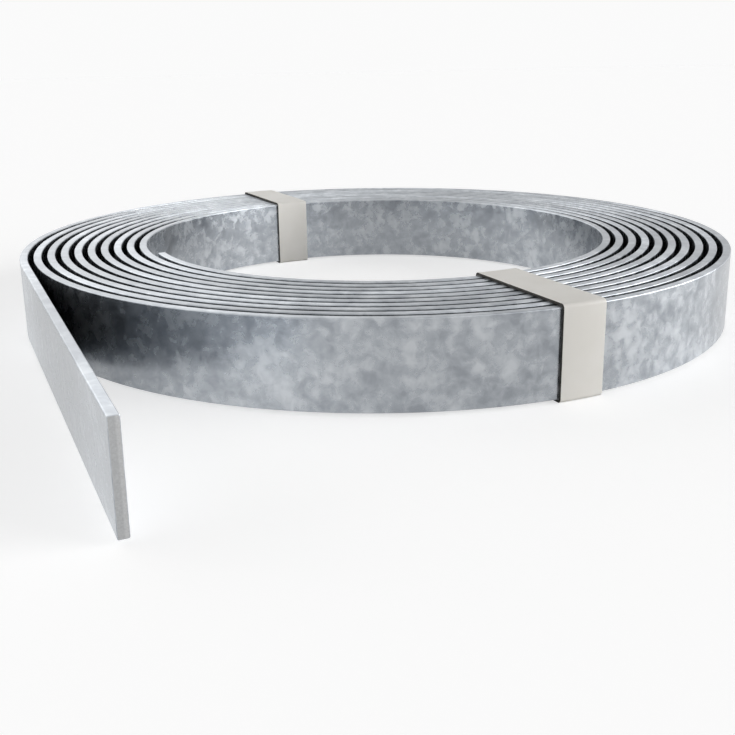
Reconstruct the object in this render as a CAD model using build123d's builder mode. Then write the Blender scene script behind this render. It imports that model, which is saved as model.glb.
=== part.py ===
from build123d import *
import os
from math import asin, cos, degrees, radians, sin

# Galvanized steel strip, wound on edge into a coil that lies flat, and held by two straps.
# The outer end of the strip leaves the coil as a straight tail with a square-cut end.
# Millimetres, Z up. The origin is on the coil's axis, at the level of the floor.
# The straps are at minus Y (front) and near plus Y (back), and the tail runs out along minus Y.

# The strip's own section: a flat bar with square edges, standing on its narrow edge
STRIP_WIDTH = 30.0
STRIP_THICKNESS = 3.0

# How the strip is wound
BORE_RADIUS = 95.5
TURN_GAP = 2.2
TURN_COUNT = 10
TAIL_LENGTH = 176.0

# The two straps, each one band with its ends lapped and welded
STRAP_WIDTH = 16.0
STRAP_THICKNESS = 1.0
STRAP_PLAY = 0.1
STRAP_LAP_LENGTH = 22.0

# Angles round the coil, counterclockwise from plus X as seen from above
HALF_TURN = 180.0
BACK_STRAP_ANGLE = 91.5
FRONT_STRAP_ANGLE = 270.0

# The coil swings about two centres: each half turn begins where the last one ended and
# is half a pitch wider, so the strip moves out by one full pitch in every turn.
TURN_PITCH = STRIP_THICKNESS + TURN_GAP
BACK_CENTRE_X = -TURN_PITCH / 4
FRONT_CENTRE_X = TURN_PITCH / 4

# Radii of the strip's inner face in the innermost half turn at the front and at the back
FRONT_START_RADIUS = BORE_RADIUS
BACK_START_RADIUS = BORE_RADIUS + TURN_PITCH / 2

# The turns lie side by side from the bore to the outside
BUNDLE_DEPTH = (TURN_COUNT - 1) * TURN_PITCH + STRIP_THICKNESS
TAIL_OUTER_X = BACK_CENTRE_X - BACK_START_RADIUS - BUNDLE_DEPTH

# Heights: the straps lie on the floor and carry the strip
STRIP_FOOT = STRAP_THICKNESS + STRAP_PLAY
STRIP_MIDDLE = STRIP_FOOT + STRIP_WIDTH / 2


def upright_axis(centre_x):
    """The vertical line that a half turn swings about."""
    return Axis((centre_x, 0, 0), (0, 0, 1))


def outwards(angle):
    """The level direction that leads away from the coil's axis at this angle."""
    return (cos(radians(angle)), sin(radians(angle)), 0)


def radial_plane(centre_x, angle):
    """The upright plane through a centre, with its own X pointing outwards at this angle."""
    return Plane((centre_x, 0, 0), x_dir=outwards(angle), z_dir=outwards(angle - 90))


# The strip: its section turned through every half turn, then drawn out straight as the tail.
# Each turn starts at the tail's side, swings round the front, and comes home round the back.
with BuildPart() as strip_coil:
    for turn in range(TURN_COUNT):
        growth = turn * TURN_PITCH
        with BuildSketch(radial_plane(FRONT_CENTRE_X, HALF_TURN)):
            with Locations((FRONT_START_RADIUS + growth + STRIP_THICKNESS / 2, STRIP_MIDDLE)):
                Rectangle(STRIP_THICKNESS, STRIP_WIDTH)
        revolve(axis=upright_axis(FRONT_CENTRE_X), revolution_arc=HALF_TURN)
        with BuildSketch(radial_plane(BACK_CENTRE_X, 0)):
            with Locations((BACK_START_RADIUS + growth + STRIP_THICKNESS / 2, STRIP_MIDDLE)):
                Rectangle(STRIP_THICKNESS, STRIP_WIDTH)
        revolve(axis=upright_axis(BACK_CENTRE_X), revolution_arc=HALF_TURN)
    with BuildSketch(Plane.XZ):
        with Locations((TAIL_OUTER_X + STRIP_THICKNESS / 2, STRIP_MIDDLE)):
            Rectangle(STRIP_THICKNESS, STRIP_WIDTH)
    extrude(amount=TAIL_LENGTH)

strip_coil.part.label = "strip_coil"


def make_strap(centre_x, angle, inner_radius, lap_outside):
    """One band round all the turns: it follows the coil's faces and keeps parallel edges."""
    mid_radius = inner_radius + BUNDLE_DEPTH / 2
    window_depth = BUNDLE_DEPTH + 2 * STRAP_PLAY
    window_height = STRIP_WIDTH + 2 * STRAP_PLAY
    band_depth = window_depth + 2 * STRAP_THICKNESS
    band_height = window_height + 2 * STRAP_THICKNESS
    lap_side = 1 if lap_outside else -1
    lap_radius = mid_radius + lap_side * (band_depth + STRAP_THICKNESS) / 2

    # The narrowest radius needs the widest swing to give the full width of the band
    narrowest_radius = inner_radius - STRAP_PLAY - 2 * STRAP_THICKNESS
    half_swing = 1.2 * degrees(asin(STRAP_WIDTH / 2 / narrowest_radius))
    floor_plane = Plane((centre_x, 0, 0), x_dir=outwards(angle), z_dir=(0, 0, 1))

    # The band bends round the strip's square corners, so its bend follows its play
    with BuildPart() as strap:
        with BuildSketch(radial_plane(centre_x, angle - half_swing)):
            with Locations((mid_radius, STRIP_MIDDLE)):
                RectangleRounded(band_depth, band_height, STRAP_PLAY + STRAP_THICKNESS)
                RectangleRounded(window_depth, window_height, STRAP_PLAY, mode=Mode.SUBTRACT)
            with Locations((lap_radius, STRIP_MIDDLE)):
                Rectangle(STRAP_THICKNESS, STRAP_LAP_LENGTH)
        revolve(axis=upright_axis(centre_x), revolution_arc=2 * half_swing)
        with BuildSketch(floor_plane):
            with Locations((mid_radius, 0)):
                Rectangle(band_depth + 4 * STRAP_THICKNESS, STRAP_WIDTH)
        extrude(amount=STRIP_MIDDLE + band_height, mode=Mode.INTERSECT)
    return strap


# The front strap's lap is on the bore side, and the back strap's on the outside
strap_front = make_strap(FRONT_CENTRE_X, FRONT_STRAP_ANGLE, FRONT_START_RADIUS, lap_outside=False)
strap_front.part.label = "strap_front"

strap_back = make_strap(BACK_CENTRE_X, BACK_STRAP_ANGLE, BACK_START_RADIUS, lap_outside=True)
strap_back.part.label = "strap_back"

os.makedirs("parts", exist_ok=True)
export_step(strip_coil.part, "parts/strip_coil.step")
export_step(strap_front.part, "parts/strap_front.step")
export_step(strap_back.part, "parts/strap_back.step")
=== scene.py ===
# %% [markdown]
# A coil of galvanized steel strip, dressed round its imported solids.
# The real object is one long flat bar that a mill winds on edge, so it looks like a clock spring
# lying flat. Two bands go round all its turns and keep it from springing open.
# The solids already have the right sizes, so the main sizes are read from them here. Each piece is
# then modelled again, with the softer edges and the surface that the real one has.

# %% Load the solids and keep their box
import math

import bmesh
import bpy
from mathutils import Matrix, Vector


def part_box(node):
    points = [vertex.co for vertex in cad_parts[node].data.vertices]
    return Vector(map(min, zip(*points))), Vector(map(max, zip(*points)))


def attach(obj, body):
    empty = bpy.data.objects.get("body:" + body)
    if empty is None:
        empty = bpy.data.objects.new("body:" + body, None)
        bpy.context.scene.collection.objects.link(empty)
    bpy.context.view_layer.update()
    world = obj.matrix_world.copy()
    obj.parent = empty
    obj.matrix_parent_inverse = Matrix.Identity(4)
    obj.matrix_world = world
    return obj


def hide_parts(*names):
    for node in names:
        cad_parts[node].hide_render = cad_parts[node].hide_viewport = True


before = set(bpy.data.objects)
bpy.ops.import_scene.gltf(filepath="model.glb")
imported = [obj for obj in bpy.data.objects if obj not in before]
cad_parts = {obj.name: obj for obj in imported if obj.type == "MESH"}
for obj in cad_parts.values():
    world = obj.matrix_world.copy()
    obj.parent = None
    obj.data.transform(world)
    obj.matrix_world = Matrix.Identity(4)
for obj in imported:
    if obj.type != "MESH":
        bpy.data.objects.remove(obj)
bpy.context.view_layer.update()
print("solids:", sorted(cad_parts))

# %% [markdown]
# The coil isn't made of circles. Every half turn is an arc, and the arcs swing about two centres
# that lie a little apart, so the strip moves outwards by one pitch in each full turn.
# The widest arc is the outermost one at the back. Its ends are the solid's lowest and highest X,
# so its centre and its radius come straight from the solid's box, and the rest follows.
# A box doesn't tell how many turns there are or how thick the strip is, so those two are given.

# %% Read the coil's sizes from its solid
TURN_COUNT = 10
STRIP_THICKNESS = 0.003

strip_low, strip_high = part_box("strip_coil")
STRIP_FOOT = strip_low.z
STRIP_WIDTH = strip_high.z - strip_low.z
STRIP_MIDDLE = STRIP_FOOT + STRIP_WIDTH / 2
TAIL_OUTER_X = strip_low.x
TAIL_INNER_X = TAIL_OUTER_X + STRIP_THICKNESS
TAIL_END_Y = strip_low.y

BACK_CENTRE_X = (strip_low.x + strip_high.x) / 2
FRONT_CENTRE_X = -BACK_CENTRE_X
TURN_PITCH = 4 * FRONT_CENTRE_X
HALF_GAP = (TURN_PITCH - STRIP_THICKNESS) / 2
BUNDLE_DEPTH = (TURN_COUNT - 1) * TURN_PITCH + STRIP_THICKNESS
BACK_INNER_RADIUS = (strip_high.x - strip_low.x) / 2 - BUNDLE_DEPTH
FRONT_INNER_RADIUS = BACK_INNER_RADIUS - TURN_PITCH / 2
print("pitch", round(TURN_PITCH, 5), "bore radius", round(FRONT_INNER_RADIUS, 5))

# %% [markdown]
# Operators act on whatever is selected, and the solids arrive selected.
# These helpers clear that, enter edit mode on one piece, and select parts of it by a test.
# A test on places allows for rounding, and a test on a face's direction asks that most of its
# normal lies along one axis.

# %% Helpers for selecting
SAME_PLACE = 0.0001
SQUARE_ON = 0.9


def deselect_everything():
    """Object mode, with nothing selected."""
    if bpy.context.object and bpy.context.object.mode != "OBJECT":
        bpy.ops.object.mode_set(mode="OBJECT")
    bpy.ops.object.select_all(action="DESELECT")


def activate(piece):
    """Make this the one selected piece."""
    deselect_everything()
    piece.select_set(True)
    bpy.context.view_layer.objects.active = piece


def edit(piece, kind):
    """Edit mode on one piece, for its VERT, EDGE or FACE, with nothing in it selected."""
    activate(piece)
    bpy.ops.object.mode_set(mode="EDIT")
    bpy.ops.mesh.select_mode(type=kind)
    bpy.ops.mesh.select_all(action="DESELECT")


def pick(piece, kind, test):
    """In edit mode, select only the verts, edges or faces that pass the test."""
    bpy.ops.mesh.select_all(action="DESELECT")
    shape = bmesh.from_edit_mesh(piece.data)
    for item in getattr(shape, kind):
        if test(item):
            item.select_set(True)
    shape.select_flush_mode()
    bmesh.update_edit_mesh(piece.data)


# %% [markdown]
# Modifiers and smoothing finish a mesh. A modifier that is applied becomes part of the mesh, so
# what is measured and handed over is the finished shape.
# Points within a micrometre of each other are merged, and edges that turn by less than an angle,
# in degrees, are shaded smooth. Weighted normals keep the large flat faces looking flat beside
# their rounded edges.

# %% Helpers for finishing a mesh
MERGE_WITHIN = 0.000001
SMOOTH_BELOW = 35


def apply_modifier(piece, kind, **settings):
    """Add a modifier with these settings to the active piece, and apply it."""
    added = piece.modifiers.new(kind.lower(), kind)
    for name, value in settings.items():
        setattr(added, name, value)
    bpy.ops.object.modifier_apply(modifier=added.name)


def finish_mesh(piece):
    """Merge doubles, point the faces outwards and smooth the shallow edges."""
    edit(piece, "VERT")
    bpy.ops.mesh.select_all(action="SELECT")
    bpy.ops.mesh.remove_doubles(threshold=MERGE_WITHIN)
    bpy.ops.mesh.normals_make_consistent(inside=False)
    bpy.ops.object.mode_set(mode="OBJECT")
    bpy.ops.object.shade_smooth_by_angle(angle=math.radians(SMOOTH_BELOW))
    apply_modifier(piece, "WEIGHTED_NORMAL", keep_sharp=True)
    print(piece.name, "has", len(piece.data.polygons), "faces")


# %% [markdown]
# The strip starts as its own cross-section: a thin upright rectangle at the inner end.
# Rolling and dipping leave no sharp corner on real strip, so its four corners are rounded first.
# A curve with a bevelled profile could make the coil too. Spinning the one face about the two
# centres in turn is closer to what the mill does, and each half turn is then a true arc.

# %% Wind the strip from its section
CORNER_ROUNDING = 0.0004
CORNER_STEPS = 3
STEPS_PER_HALF_TURN = 64
INNER_END_X = FRONT_CENTRE_X - FRONT_INNER_RADIUS - STRIP_THICKNESS / 2

deselect_everything()
bpy.ops.mesh.primitive_plane_add(size=1, rotation=(math.pi / 2, 0, 0))
strip = bpy.context.object
strip.name = "zinc_strip"
strip.scale = (STRIP_THICKNESS, STRIP_WIDTH, 1)
strip.location = (INNER_END_X, 0, STRIP_MIDDLE)
bpy.ops.object.transform_apply(location=True, rotation=True, scale=True)

edit(strip, "VERT")
bpy.ops.mesh.select_all(action="SELECT")
bpy.ops.mesh.bevel(offset=CORNER_ROUNDING, segments=CORNER_STEPS, affect="VERTICES")
bpy.ops.mesh.select_mode(type="FACE")
bpy.ops.mesh.select_all(action="SELECT")
for turn in range(TURN_COUNT):
    for centre_x in (FRONT_CENTRE_X, BACK_CENTRE_X):
        bpy.ops.mesh.spin(
            steps=STEPS_PER_HALF_TURN, angle=-math.pi, center=(centre_x, 0, 0), axis=(0, 0, 1)
        )
print("wound", TURN_COUNT, "turns, with", len(bmesh.from_edit_mesh(strip.data).faces), "faces so far")

# %% [markdown]
# After the last half turn its end face is still selected, and extruding it straight on makes the
# free tail. A shear cuts strip to length, and leaves the end a little proud in its middle with
# worn edges. Inset makes that rim, and a small push outwards softens it.

# %% Draw out the tail and soften the two cut ends
TAIL_STEPS = 24
END_WEAR = 0.00018


def push(distance_y):
    """Move what is selected along Y."""
    bpy.ops.transform.translate(value=(0, distance_y, 0))


tail_step = (TAIL_END_Y + END_WEAR) / TAIL_STEPS
for step in range(TAIL_STEPS):
    bpy.ops.mesh.extrude_region_move(TRANSFORM_OT_translate={"value": (0, tail_step, 0)})
bpy.ops.mesh.inset(thickness=END_WEAR, depth=0)
push(-END_WEAR)


def at_inner_end(face):
    """True for the end face that the winding began from."""
    middle = face.calc_center_median()
    in_place = abs(middle.y) < SAME_PLACE and abs(middle.x - INNER_END_X) < SAME_PLACE
    return in_place and abs(face.normal.y) > SQUARE_ON


pick(strip, "faces", at_inner_end)
bpy.ops.mesh.inset(thickness=END_WEAR, depth=0)
push(END_WEAR)
finish_mesh(strip)

# %% [markdown]
# Zinc goes on while the strip is straight, so its pattern follows the strip and not the room.
# Each point therefore gets its place on the strip as it was before winding: how far along it
# lies, how deep in the thickness, and how high. A material can read that as its coordinates.

# %% Store each point's place on the unwound strip
def half_turn_length(inner_radius):
    """The length of a half turn along the middle of the strip's thickness."""
    return math.pi * (inner_radius + STRIP_THICKNESS / 2)


def length_before(turn):
    """How much strip lies in the full turns before this one."""
    return sum(
        half_turn_length(FRONT_INNER_RADIUS + k * TURN_PITCH)
        + half_turn_length(BACK_INNER_RADIUS + k * TURN_PITCH)
        for k in range(turn)
    )


LENGTHS_BEFORE = [length_before(turn) for turn in range(TURN_COUNT + 1)]


def unwound(point):
    """Along, across and up on the straight strip, in metres, for a point of the coil."""
    at_back = point.y >= 0
    if not at_back and point.x < TAIL_INNER_X + HALF_GAP:
        return LENGTHS_BEFORE[TURN_COUNT] - point.y, TAIL_INNER_X - point.x, point.z
    centre_x = BACK_CENTRE_X if at_back else FRONT_CENTRE_X
    start_radius = BACK_INNER_RADIUS if at_back else FRONT_INNER_RADIUS
    radius = math.hypot(point.x - centre_x, point.y)
    turn = math.floor((radius - start_radius + HALF_GAP) / TURN_PITCH)
    if turn < 0:
        # Only the inner end lies here, at the strip's start or just before it
        return -point.y, radius - FRONT_INNER_RADIUS + TURN_PITCH / 2, point.z
    inner_radius = start_radius + turn * TURN_PITCH
    swept = math.atan2(point.y, point.x - centre_x) % (2 * math.pi)
    along = LENGTHS_BEFORE[turn]
    if at_back:
        along += half_turn_length(FRONT_INNER_RADIUS + turn * TURN_PITCH)
    else:
        swept -= math.pi
    along += swept * (inner_radius + STRIP_THICKNESS / 2)
    return along, radius - inner_radius, point.z


place_on_strip = strip.data.attributes.new("unwound", "FLOAT_VECTOR", "POINT")
for vertex in strip.data.vertices:
    place_on_strip.data[vertex.index].vector = unwound(vertex.co)
longest = max(entry.vector[0] for entry in place_on_strip.data)
print("the strip is", round(longest, 3), "m long")

# %% [markdown]
# A strap is a thin flat band. A curve with a flat profile could make it, but a box round the
# turns has its four flat legs from the start. The two faces at the box's sides go, which leaves a
# loop. The loop's four bends are bevelled, and it is cut across its width so that it can follow
# the round coil. It is made at the coil's centre, with local Y leading out.

# %% Read the straps' sizes from their solids
STRAP_PLAY = 0.0001
STRAP_THICKNESS = STRIP_FOOT - STRAP_PLAY
STRAP_BEND = CORNER_ROUNDING + STRAP_PLAY
strap_low, strap_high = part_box("strap_front")
STRAP_WIDTH = strap_high.x - strap_low.x
print("strap", round(STRAP_WIDTH, 5), "wide,", round(STRAP_THICKNESS, 5), "thick")


# %% Make the loop of a strap
WIDTH_CUTS = 7
BEND_STEPS = 5


def runs_across(edge):
    """True for an edge that runs across the strap, from one side to the other."""
    return abs(edge.verts[0].co.x - edge.verts[1].co.x) > STRAP_WIDTH / 2


def add_loop(name, inner_radius):
    """The band's inner face as a thin loop round all the turns, with its four bends."""
    deselect_everything()
    bpy.ops.mesh.primitive_cube_add(size=1)
    band = bpy.context.object
    band.name = name
    band.scale = (STRAP_WIDTH, BUNDLE_DEPTH + 2 * STRAP_PLAY, STRIP_WIDTH + 2 * STRAP_PLAY)
    band.location = (0, inner_radius + BUNDLE_DEPTH / 2, STRIP_MIDDLE)
    bpy.ops.object.transform_apply(location=True, rotation=True, scale=True)
    edit(band, "FACE")
    pick(band, "faces", lambda face: abs(face.normal.x) > SQUARE_ON)
    bpy.ops.mesh.delete(type="ONLY_FACE")
    bpy.ops.mesh.select_mode(type="EDGE")
    pick(band, "edges", runs_across)
    bpy.ops.mesh.bevel(offset=STRAP_BEND, segments=BEND_STEPS, affect="EDGES")
    for cut in range(1, WIDTH_CUTS + 1):
        bpy.ops.mesh.select_all(action="SELECT")
        cut_x = STRAP_WIDTH * (cut / (WIDTH_CUTS + 1) - 0.5)
        bpy.ops.mesh.bisect(plane_co=(cut_x, 0, 0), plane_no=(1, 0, 0))
    return band


# %% [markdown]
# The band's two ends overlap by a thumb's width and are welded by rubbing them together, which
# presses a patch of small ridges into the top layer. So the lap is a second layer on the leg that
# the front view hides. Its lower end is cut square, and its upper end runs down into the band.
# The weld is cut into rows, and every other row is pressed in deep. The rows between are pressed
# a little too, so that no ridge stands out past the solid.

# %% Add the welded lap
LAP_LENGTH = 0.022
LAP_RAMP = 0.004
LAYER_SINK = 0.02
WELD_START = 0.004
WELD_ROWS = 20
WELD_ROW_HEIGHT = 0.0006
WELD_GROOVE = 0.000338
WELD_RIDGE = 0.000078


def cut_level(height):
    """Cut through what is selected, at this height."""
    bpy.ops.mesh.bisect(plane_co=(0, 0, height), plane_no=(0, 0, 1))


def press_weld(band, facing, lap_y, low, high):
    """Ridges across the lap's outer layer, which lies at lap_y, and the ramp at its upper end."""
    weld_low = low + WELD_START

    def on_lap(place):
        return abs(place.y - lap_y) < STRAP_THICKNESS / 4

    for row in range(WELD_ROWS + 1):
        pick(band, "faces", lambda face: on_lap(face.calc_center_median()))
        cut_level(weld_low + row * WELD_ROW_HEIGHT)
    shape = bmesh.from_edit_mesh(band.data)
    for vertex in shape.verts:
        if not on_lap(vertex.co):
            continue
        row = round((vertex.co.z - weld_low) / WELD_ROW_HEIGHT)
        at_rim = abs(vertex.co.x) > STRAP_WIDTH / 2 - SAME_PLACE
        if vertex.co.z > high - SAME_PLACE:
            vertex.co.y -= facing * STRAP_THICKNESS * (1 - 2 * LAYER_SINK)
        elif 0 < row < WELD_ROWS and not at_rim:
            vertex.co.y -= facing * (WELD_GROOVE if row % 2 else WELD_RIDGE)
    bmesh.update_edit_mesh(band.data)


def add_lap(band, facing):
    """A second layer on the leg whose outer side faces this way along local Y."""
    low = STRIP_MIDDLE - LAP_LENGTH / 2
    high = STRIP_MIDDLE + LAP_LENGTH / 2

    def under_lap(face):
        return face.normal.y * facing > SQUARE_ON and low < face.calc_center_median().z < high

    for height in (low, high - LAP_RAMP, high):
        bpy.ops.mesh.select_all(action="SELECT")
        cut_level(height)
    bpy.ops.mesh.select_mode(type="FACE")
    pick(band, "faces", under_lap)
    bpy.ops.mesh.duplicate()
    bpy.ops.transform.translate(value=(0, facing * STRAP_THICKNESS * (1 - LAYER_SINK), 0))
    bpy.ops.object.mode_set(mode="OBJECT")
    bpy.ops.object.mode_set(mode="EDIT")
    reach = max(facing * vertex.co.y for vertex in bmesh.from_edit_mesh(band.data).verts)
    press_weld(band, facing, facing * reach, low, high)


# %% [markdown]
# The loop becomes a band when Solidify gives it its thickness. Before that, each row of points
# across the width slides in towards the coil's axis, so that the band hugs the round turns while
# its two edges stay parallel. Last of all it is turned to its own place round the coil.

# %% Finish a strap
EDGE_SOFTNESS = 0.00012
EDGE_STEPS = 2
SHARP_ABOVE = 50
CUT_EDGE_SLOT = 1
CUT_EDGE_TILT = 0.6


def hug_the_coil(band):
    """Move each point in by as much as the round coil falls away beside the strap's middle."""
    for vertex in band.data.vertices:
        radius = abs(vertex.co.y)
        vertex.co.y = math.copysign(math.sqrt(radius**2 - vertex.co.x**2), vertex.co.y)


def add_strap(name, node, centre_x, angle, inner_radius, lap_facing):
    """A whole strap, at this angle round its centre, which stands for its solid."""
    band = add_loop(name, inner_radius)
    add_lap(band, lap_facing)
    activate(band)
    hug_the_coil(band)
    apply_modifier(band, "SOLIDIFY", thickness=STRAP_THICKNESS, offset=1, use_even_offset=True)
    apply_modifier(
        band,
        "BEVEL",
        width=EDGE_SOFTNESS,
        segments=EDGE_STEPS,
        limit_method="ANGLE",
        angle_limit=math.radians(SHARP_ABOVE),
    )
    # The cut edges get the near-black material, a painted shadow line beside the band
    for face in band.data.polygons:
        if abs(face.normal.x) > CUT_EDGE_TILT:
            face.material_index = CUT_EDGE_SLOT
    # Local Y leads outwards, at 90 degrees, so only the rest of the angle is left to turn
    band.rotation_euler.z = math.radians(angle - 90)
    band.location.x = centre_x
    bpy.ops.object.transform_apply(location=True, rotation=True, scale=True)
    finish_mesh(band)
    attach(band, "root")
    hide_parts(node)
    return band


# %% Put both straps in their places
def strap_angle(node, centre_x):
    """Where a strap stands round its centre, from the middle of its solid's box."""
    low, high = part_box(node)
    return math.degrees(math.atan2((low.y + high.y) / 2, (low.x + high.x) / 2 - centre_x))


front_angle = strap_angle("strap_front", FRONT_CENTRE_X)
back_angle = strap_angle("strap_back", BACK_CENTRE_X)
print("strap angles", round(front_angle, 2), round(back_angle, 2))
front_band = add_strap("front_band", "strap_front", FRONT_CENTRE_X, front_angle, FRONT_INNER_RADIUS, -1)
back_band = add_strap("back_band", "strap_back", BACK_CENTRE_X, back_angle, BACK_INNER_RADIUS, 1)

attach(strip, "root")
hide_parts("strip_coil")


# %% [markdown]
# A material is a tree of nodes. These helpers add a node and give each of its inputs a number or
# another node's output, so that each material below reads as a list of what goes into it.
# The Mix node has a set of sockets for each kind of data, so its sockets are given by number.

# %% Helpers for node trees
WHITE = (1, 1, 1, 1)


def fill(tree, node, inputs):
    """Give these inputs of a node a number, a colour or another node's output."""
    for name, value in inputs.items():
        socket = node.inputs[name]
        if isinstance(value, bpy.types.NodeSocket):
            tree.links.new(value, socket)
        else:
            socket.default_value = value


def add_node(tree, kind, inputs=None, **settings):
    """A node with its settings made and its inputs filled."""
    made = tree.nodes.new(kind)
    for name, value in settings.items():
        setattr(made, name, value)
    fill(tree, made, inputs or {})
    return made


def new_material(name):
    """A fresh material, with its tree and its surface shader."""
    made = bpy.data.materials.new(name)
    made.use_nodes = True
    return made, made.node_tree, made.node_tree.nodes["Principled BSDF"]


# %% Helpers that turn one value into another
def ramp(tree, value, stops):
    """Colours laid out along a value, as (place, colour) stops."""
    made = add_node(tree, "ShaderNodeValToRGB", {"Fac": value})
    elements = made.color_ramp.elements
    while len(elements) < len(stops):
        elements.new(0.5)
    for element, (spot, colour) in zip(elements, stops):
        element.position = spot
        element.color = (*colour, 1)
    return made.outputs["Color"]


def remap(tree, value, source, target):
    """A value moved from one range of numbers to another, and kept inside it."""
    ends = {"From Min": source[0], "From Max": source[1], "To Min": target[0], "To Max": target[1]}
    return add_node(tree, "ShaderNodeMapRange", {"Value": value, **ends}).outputs["Result"]


def calculate(tree, operation, first, second=0.0):
    """A sum, a product or another simple function of values."""
    return add_node(tree, "ShaderNodeMath", {0: first, 1: second}, operation=operation).outputs[0]


def blend(tree, share, first, second):
    """Two values mixed: share 0 is all of the first."""
    return add_node(tree, "ShaderNodeMix", {0: share, 2: first, 3: second}).outputs[0]


def shade(tree, colour, tone):
    """A colour made darker or lighter by a tone, where 1 leaves it as it is."""
    inputs = {0: 1.0, 6: colour, 7: tone}
    return add_node(tree, "ShaderNodeMix", inputs, data_type="RGBA", blend_type="MULTIPLY").outputs[2]


# %% Helpers for patterns and relief
def noise(tree, vector, scale, detail, roughness=0.5, distortion=0.0):
    """Cloudy noise: one over the scale is about the size of a cloud, in metres."""
    return add_node(
        tree,
        "ShaderNodeTexNoise",
        {
            "Vector": vector,
            "Scale": scale,
            "Detail": detail,
            "Roughness": roughness,
            "Distortion": distortion,
        },
    )


def bump(tree, height, strength, distance, below=None):
    """A surface relief, laid over another one if that is given."""
    inputs = {"Height": height, "Strength": strength, "Distance": distance}
    if below is not None:
        inputs["Normal"] = below
    return add_node(tree, "ShaderNodeBump", inputs).outputs["Normal"]


def place_on_the_strip(tree):
    """The stored place on the unwound strip, for a material of the strip."""
    return add_node(tree, "ShaderNodeAttribute", attribute_name="unwound").outputs["Vector"]


# %% [markdown]
# Hot-dip zinc sets in soft crystals, and then weathers to a cloudy blue grey. A picture of zinc
# would repeat itself on nearly eight metres of strip, so the pattern is made by noise that reads
# the place on the unwound strip. Small clouds, wide drifts and blurred crystal patches are mixed
# into one value, the mottle, and everything else about the zinc then follows it.

# %% The zinc's mottle
CLOUD_SCALE = 240
DRIFT_SCALE = 70
CRYSTAL_SCALE = 260
CRYSTAL_RUFFLE = 0.005
CRYSTAL_SHARE = 0.25
DRIFT_SHARE = 0.35

zinc, tree, shader = new_material("galvanized_zinc")
place = place_on_the_strip(tree)
clouds = noise(tree, place, CLOUD_SCALE, detail=4, roughness=0.55, distortion=0.4)
drifts = noise(tree, place, DRIFT_SCALE, detail=2)
ruffled = add_node(
    tree,
    "ShaderNodeMix",
    {0: CRYSTAL_RUFFLE, 4: place, 5: clouds.outputs["Color"]},
    data_type="VECTOR",
)
crystals = add_node(
    tree,
    "ShaderNodeTexVoronoi",
    {"Vector": ruffled.outputs[1], "Scale": CRYSTAL_SCALE, "Smoothness": 1.0},
    feature="SMOOTH_F1",
)
crystal_tone = add_node(tree, "ShaderNodeRGBToBW", {"Color": crystals.outputs["Color"]})
mottle = blend(tree, CRYSTAL_SHARE, clouds.outputs["Fac"], crystal_tone.outputs["Val"])
mottle = blend(tree, DRIFT_SHARE, mottle, drifts.outputs["Fac"])
print("the mottle takes", len(tree.nodes), "nodes")

# %% [markdown]
# The mottle picks the grey. A slow wave along the strip then makes it lighter and darker by
# turns. This is painted light: its light stretches are a painted highlight on the round wall. The
# wave's length and place were found by comparing renders with the photograph, so that its light
# stretches fall where they do there.
# Between the turns and beside the tail, the colour is painted darker as painted shade, where
# little light gets in. Ambient occlusion tells how open each place is, and so how much painted
# shade goes there.

# %% The zinc's colour
MOTTLE_DARK, MOTTLE_MIDDLE, MOTTLE_PALE = 0.38, 0.5, 0.62
DARK_ZINC = (0.3, 0.32, 0.347)
MIDDLE_ZINC = (0.392, 0.415, 0.442)
PALE_ZINC = (0.505, 0.526, 0.55)
WAVE_LENGTH = 0.1593
WAVE_PEAK = 7.013
HIGHLIGHT_WAVE_TONES = (0.94, 1.26)
GAP_REACH = 0.03
GAP_OPENNESS = (0.04, 0.42)
CREVICE_SHADE_TONES = (0.2, 1.0)

zinc_colour = ramp(
    tree,
    mottle,
    [(MOTTLE_DARK, DARK_ZINC), (MOTTLE_MIDDLE, MIDDLE_ZINC), (MOTTLE_PALE, PALE_ZINC)],
)
place_parts = add_node(tree, "ShaderNodeSeparateXYZ", {"Vector": place}).outputs
# The wave paints lighter stretches on the zinc, as a painted highlight
past_peak = calculate(tree, "SUBTRACT", place_parts["X"], WAVE_PEAK)
wave = calculate(tree, "COSINE", calculate(tree, "MULTIPLY", past_peak, 2 * math.pi / WAVE_LENGTH))
painted_highlight_swell = calculate(tree, "POWER", remap(tree, wave, (-1, 1), (0, 1)), 2)
# Painted shade: the colour gets darker where ambient occlusion finds the strip closed in
openness = add_node(
    tree, "ShaderNodeAmbientOcclusion", {"Distance": GAP_REACH}, samples=6, only_local=True
)
painted_crevice_shade = remap(tree, openness.outputs["AO"], GAP_OPENNESS, CREVICE_SHADE_TONES)
tone = calculate(tree, "MULTIPLY", painted_crevice_shade, remap(tree, painted_highlight_swell, (0, 1), HIGHLIGHT_WAVE_TONES))
fill(tree, shader, {"Base Color": shade(tree, zinc_colour, tone)})
print("waves along the strip:", round(longest / WAVE_LENGTH, 1))

# %% [markdown]
# A pale patch of zinc is also a duller one, so the roughness follows the mottle as well. The two
# narrow edges are rougher than the broad faces, because there the strip scrapes on guides and on
# the floor. That also spreads the lamps' reflection along the thin rims into an even line.
# A fine grain, and a shallow relief that follows the mottle, keep the zinc from looking polished.

# %% The zinc's gloss and relief
ZINC_METAL = 0.92
ZINC_ROUGHNESS = (0.2, 0.33)
EDGE_ROUGHENING = 0.14
EDGE_BAND_START = STRIP_WIDTH / 2 - 0.0007
EDGE_BAND_FULL = STRIP_WIDTH / 2 - 0.0002
GRAIN_SCALE = 1500

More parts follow.
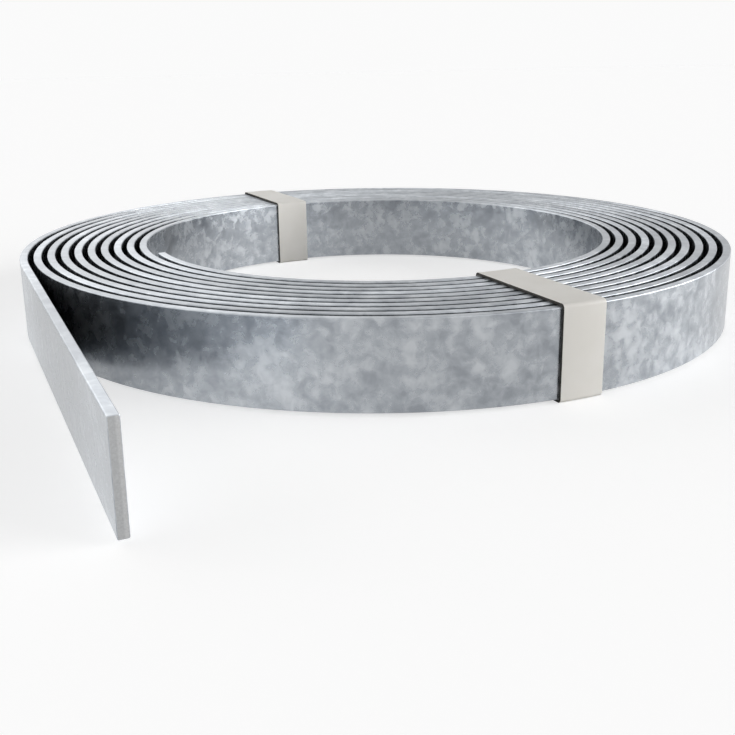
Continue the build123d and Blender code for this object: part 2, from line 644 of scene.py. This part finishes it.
from_middle = calculate(tree, "ABSOLUTE", calculate(tree, "SUBTRACT", place_parts["Z"], STRIP_MIDDLE))
at_edge = remap(tree, from_middle, (EDGE_BAND_START, EDGE_BAND_FULL), (0.0, EDGE_ROUGHENING))
dullness = remap(tree, mottle, (MOTTLE_DARK, MOTTLE_PALE), ZINC_ROUGHNESS)
grain = noise(tree, place, GRAIN_SCALE, detail=3, roughness=0.6)
relief = bump(tree, grain.outputs["Fac"], strength=0.15, distance=0.00004)
relief = bump(tree, mottle, strength=0.12, distance=0.0003, below=relief)
fill(
    tree,
    shader,
    {
        "Metallic": ZINC_METAL,
        "Roughness": calculate(tree, "ADD", dullness, at_edge),
        "Normal": relief,
    },
)
strip.data.materials.append(zinc)
print(zinc.name, "has", len(tree.nodes), "nodes")

# %% [markdown]
# A shear first slides into the steel and burnishes it, and then the rest breaks off rough.
# So a cut end has no zinc: about a third of it is smooth and bright, and the rest is dull and
# grainy. The place across the strip's thickness tells the two apart. The ends could be pieces of
# their own, but a second material on their faces keeps the strip one piece, as it really is.

# %% Sheared steel on the two ends
CUT_END_SLOT = 1
STEEL_METAL = 0.95
BREAK_ZONE = (0.0009, 0.0014)
BURNISHED_STEEL = (0.47, 0.475, 0.48)
TORN_STEEL = (0.38, 0.385, 0.39)
BURNISHED_TO_TORN_ROUGHNESS = (0.3, 0.5)
PIT_SCALE = 2500

cut_steel, tree, shader = new_material("sheared_steel")
place = place_on_the_strip(tree)
across = add_node(tree, "ShaderNodeSeparateXYZ", {"Vector": place}).outputs["Y"]
torn = remap(tree, across, BREAK_ZONE, (0.0, 1.0))
pits = noise(tree, place, PIT_SCALE, detail=4, roughness=0.7).outputs["Fac"]
speckle = remap(tree, pits, (0.3, 0.7), (0.85, 1.15))
steel_grey = ramp(tree, torn, [(0.0, BURNISHED_STEEL), (1.0, TORN_STEEL)])
fill(
    tree,
    shader,
    {
        "Base Color": shade(tree, steel_grey, speckle),
        "Metallic": STEEL_METAL,
        "Roughness": remap(tree, torn, (0.0, 1.0), BURNISHED_TO_TORN_ROUGHNESS),
        "Normal": bump(tree, pits, strength=0.3, distance=0.0001),
    },
)
strip.data.materials.append(cut_steel)

cut_faces = 0
for face in strip.data.polygons:
    at_tail_end = face.center.y < TAIL_END_Y + END_WEAR / 2
    at_start = abs(face.center.y - END_WEAR) < END_WEAR / 2 and face.normal.y > SQUARE_ON
    if at_tail_end or at_start:
        face.material_index = CUT_END_SLOT
        cut_faces += 1
print(cut_steel.name, "is on", cut_faces, "faces")

# %% [markdown]
# The band is smooth pale beige plastic, slit from a wide sheet. Its narrow cut edges are painted
# near black as painted shadow, which draws a dark line round it where the band's thickness shades
# the zinc. So it has two materials, and both read the plain place in the room, because nothing in
# this plastic follows the band's own length.

# %% Strapping band
PALE_BEIGE = [(0.35, (0.85, 0.826, 0.775)), (0.65, (0.89, 0.87, 0.825))]
HAZE_SCALE = 60
STRAP_GRAIN_SCALE = 900

strapping, tree, shader = new_material("strapping")
here = add_node(tree, "ShaderNodeTexCoord").outputs["Object"]
haze = noise(tree, here, HAZE_SCALE, detail=3).outputs["Fac"]
strap_grain = noise(tree, here, STRAP_GRAIN_SCALE, detail=3, roughness=0.6).outputs["Fac"]
fill(
    tree,
    shader,
    {
        "Base Color": ramp(tree, haze, PALE_BEIGE),
        "Roughness": 0.5,
        "Specular IOR Level": 0.35,
        "Normal": bump(tree, strap_grain, strength=0.15, distance=0.00004),
    },
)

# %% The band's cut edges, painted dark as shadow
EDGE_SHADOW_BROWN = [(0.3, (0.035, 0.033, 0.03)), (0.7, (0.09, 0.085, 0.078))]
EDGE_SHADOW_SCALE = 500

painted_shadow_edge, tree, shader = new_material("strapping_painted_shadow_edge")
here = add_node(tree, "ShaderNodeTexCoord").outputs["Object"]
edge_shadow_noise = noise(tree, here, EDGE_SHADOW_SCALE, detail=3).outputs["Fac"]
edge_shadow_colour = ramp(tree, edge_shadow_noise, EDGE_SHADOW_BROWN)
fill(tree, shader, {"Base Color": edge_shadow_colour, "Roughness": 0.75, "Specular IOR Level": 0.2})
for band in (front_band, back_band):
    band.data.materials.append(strapping)
    band.data.materials.append(painted_shadow_edge)
    print(band.name, "has", [material.name for material in band.data.materials])

# %% [markdown]
# Zinc shows what it mirrors, so the studio matters as much as the material. The white backdrop
# all round gives the bright rims, and the floor gives the softer grey of the upright walls.
# The lamps are low and wide. The strong one, at the right, gives the round wall its light and
# its dark side. Three weak ones, at the front, the left and the back, keep the other walls from
# going too dark, and a faint one far behind puts a sheen on the top edges.

# %% Lamps
def direction(azimuth, elevation):
    """Towards a lamp, from its azimuth (0 is the front, 90 the right) and height, in degrees."""
    turn, rise = math.radians(azimuth), math.radians(elevation)
    return Vector((math.sin(turn) * math.cos(rise), -math.cos(turn) * math.cos(rise), math.sin(rise)))


LAMPS = {
    "key_right": {"azimuth": 64, "elevation": 6, "power": 3.8, "spread": 50},
    "front_low": {"azimuth": 20, "elevation": 8, "power": 0.6, "spread": 60},
    "left_low": {"azimuth": 245, "elevation": 14, "power": 0.7, "spread": 50},
    "back_left": {"azimuth": 205, "elevation": 28, "power": 0.6, "spread": 50},
    "far_back": {"azimuth": 171, "elevation": 19, "power": 0.1, "spread": 22},
}
for name, lamp in LAMPS.items():
    light = bpy.data.lights.new(name, "SUN")
    light.energy = lamp["power"]
    light.angle = math.radians(lamp["spread"])
    holder = bpy.data.objects.new(name, light)
    bpy.context.scene.collection.objects.link(holder)
    holder.rotation_mode = "QUATERNION"
    towards = direction(lamp["azimuth"], lamp["elevation"])
    holder.rotation_quaternion = towards.to_track_quat("Z", "Y")
print("lamps:", list(LAMPS))

# %% [markdown]
# The world is near white where it is seen, straight on or mirrored in the zinc, and weaker where
# it only fills the shadows. The floor gets a lift in the same way, just enough to match the
# backdrop far away from the object, so that no horizon shows and the soft shadow stays.
# The lift was found by rendering. A sum over the lamps doesn't give it, because the wide discs of
# such low lamps reach below the horizon.

# %% World
BACKDROP = 0.96
SKY_FILL = 0.2


def seen_or_mirrored(tree):
    """One for rays from the camera, mirrors and glass, and zero for the rest."""
    paths = add_node(tree, "ShaderNodeLightPath").outputs
    share = paths["Is Camera Ray"]
    for name in ("Is Glossy Ray", "Is Transmission Ray"):
        share = calculate(tree, "MAXIMUM", share, paths[name])
    return share


world = bpy.data.worlds.new("studio")
bpy.context.scene.world = world
world.use_nodes = True
sky = world.node_tree
sky_level = remap(sky, seen_or_mirrored(sky), (0, 1), (SKY_FILL, BACKDROP))
fill(sky, sky.nodes["Background"], {"Color": WHITE, "Strength": sky_level})
print(world.name, "goes from", SKY_FILL, "to", BACKDROP)

# %% Floor
FLOOR_PAINT = 0.6
FLOOR_LIFT = 0.61
FLOOR_SIZE = 12

deselect_everything()
bpy.ops.mesh.primitive_plane_add(size=FLOOR_SIZE, location=(0, 0, 0))
floor = bpy.context.object
floor.name = "studio_floor"
floor_paint, tree, shader = new_material("floor_paint")
lift = remap(tree, seen_or_mirrored(tree), (0, 1), (0, FLOOR_LIFT))
fill(
    tree,
    shader,
    {
        "Base Color": (FLOOR_PAINT, FLOOR_PAINT, FLOOR_PAINT, 1),
        "Roughness": 1.0,
        "Specular IOR Level": 0.0,
        "Emission Color": WHITE,
        "Emission Strength": lift,
    },
)
floor.data.materials.append(floor_paint)
print(floor.name, "is", FLOOR_SIZE, "m wide")

# %% [markdown]
# The camera stands low in front and to the left, and its heading, dip and roll are the ones that
# put the coil's rims, the tail and the straps where the photograph has them. They were worked out
# from points on the coil whose real places are known, and not by eye.

# %% Camera
CAMERA_PLACE = Vector((-0.17903, -0.37733, 0.10567))
CAMERA_HEADING = 24.7
CAMERA_DIP = 15.22
CAMERA_ROLL = -0.789
CAMERA_LENS = 46.956
CAMERA_SENSOR = 36
CAMERA_SHIFT = -0.068
NEAREST_SEEN = 0.01

# A lamp's azimuth starts from the front and the heading from the back, the other way round
forward = direction(180 - CAMERA_HEADING, -CAMERA_DIP)
level_right = forward.cross(Vector((0, 0, 1))).normalized()
level_up = level_right.cross(forward)
roll = math.radians(CAMERA_ROLL)
right = math.cos(roll) * level_right + math.sin(roll) * level_up
up = math.cos(roll) * level_up - math.sin(roll) * level_right

camera_data = bpy.data.cameras.new("photo_camera")
camera_data.sensor_width = CAMERA_SENSOR
camera_data.lens = CAMERA_LENS
camera_data.shift_y = CAMERA_SHIFT
camera_data.clip_start = NEAREST_SEEN
camera = bpy.data.objects.new("photo_camera", camera_data)
bpy.context.scene.collection.objects.link(camera)
camera.location = CAMERA_PLACE
camera.rotation_mode = "QUATERNION"
camera.rotation_quaternion = Matrix((right, up, -forward)).transposed().to_quaternion()
bpy.context.scene.camera = camera
bpy.context.scene.view_settings.view_transform = "Standard"
print("camera", round(CAMERA_PLACE.length, 3), "m from the coil's middle")
